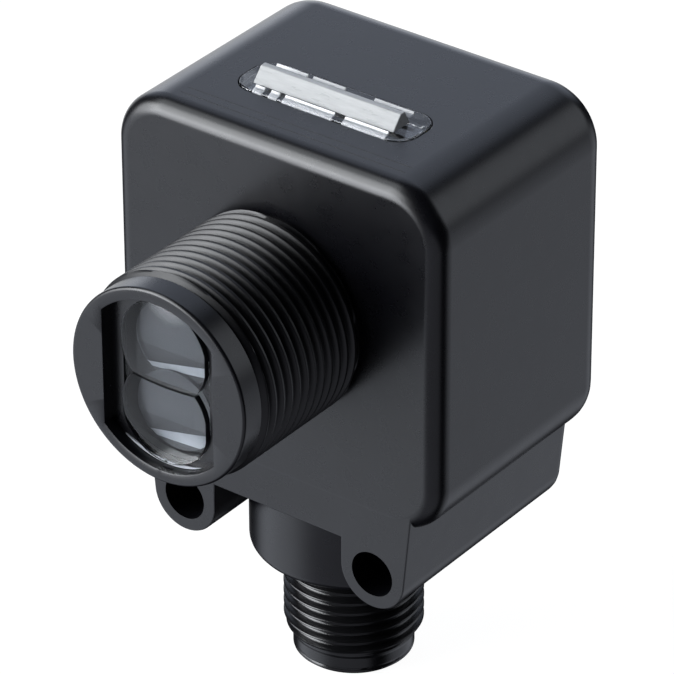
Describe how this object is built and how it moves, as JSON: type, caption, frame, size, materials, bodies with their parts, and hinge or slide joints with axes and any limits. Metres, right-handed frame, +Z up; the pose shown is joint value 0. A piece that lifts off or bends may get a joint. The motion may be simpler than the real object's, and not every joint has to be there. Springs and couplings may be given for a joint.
{
  "type": "photoelectric sensor",
  "caption": "Block-shaped photoelectric sensor with a threaded lens nose, an indicator window on top, bored mounting ears and a round threaded connector below.",
  "frame": {"origin": "centre of the flat rear mounting face, on the axis of the threaded nose", "axes": "+Y out of the rear face, so the nose looks along -Y; +Z up, away from the connector; +X to the right seen from the front"},
  "size_m": [0.0328, 0.0386, 0.0549],
  "materials": {
    "black_housing": "satin black moulded thermoplastic with a fine mould grain",
    "black_cover": "satin black moulded plate, slightly duller than the housing",
    "black_bezel": "smooth satin black moulding",
    "clear_lens": "clear polished acrylic",
    "clear_window": "clear moulded plastic, lightly frosted ridge",
    "seal_rubber": "matt black rubber",
    "black_optics": "dead matt black",
    "board_green": "green solder mask",
    "flex_amber": "amber flexible film",
    "chip_black": "moulded epoxy",
    "can_steel": "tinned sheet steel",
    "capacitor_sleeve": "dark blue shrink sleeve",
    "pin_gold": "gold-plated brass",
    "lead_copper": "tinned copper wire",
    "led_red": "tinted clear epoxy",
    "led_green": "tinted clear epoxy",
    "led_yellow": "tinted clear epoxy",
    "diode_dark": "dark filter epoxy",
    "adjuster_blue": "moulded trimmer body",
    "rotor_grey": "grey moulded rotor",
    "black_sleeve": "glass-filled black plastic, matt",
    "black_insert": "matt black moulded insulator"
  },
  "bodies": {
    "sensor": {"housing": "black_housing", "rear_cover": "black_cover", "lens_bezel": "black_bezel", "twin_lens": "clear_lens", "lens_seal": "seal_rubber", "optics_carrier": "black_optics", "optics_board": "board_green", "emitter_led": "led_red", "receiver_photodiode": "diode_dark", "amplifier_chip": "chip_black", "receiver_shield": "can_steel", "board_link": "flex_amber", "main_board": "board_green", "controller_chip": "chip_black", "output_driver": "chip_black", "voltage_regulator": "chip_black", "buffer_capacitor": "capacitor_sleeve", "indicator_board": "board_green", "power_led": "led_green", "output_led": "led_yellow", "indicator_window": "clear_window", "window_seal": "seal_rubber", "connector_sleeve": "black_sleeve", "connector_insert": "black_insert", "contact_pin_1": "pin_gold", "contact_pin_2": "pin_gold", "contact_pin_3": "pin_gold", "contact_pin_4": "pin_gold", "connector_lead_1": "lead_copper", "connector_lead_2": "lead_copper", "connector_lead_3": "lead_copper", "connector_lead_4": "lead_copper", "connector_seal": "seal_rubber", "adjuster_body": "adjuster_blue", "adjuster_seal": "seal_rubber"},
    "adjuster": {"adjuster_rotor": "rotor_grey"}
  },
  "joints": [
    {"name": "sensitivity_turn", "type": "hinge", "parent": "sensor", "child": "adjuster", "pos_m": [0, -0.002, -0.0072], "axis": [0, 1, 0], "range_deg": [-135, 135]}
  ]
}
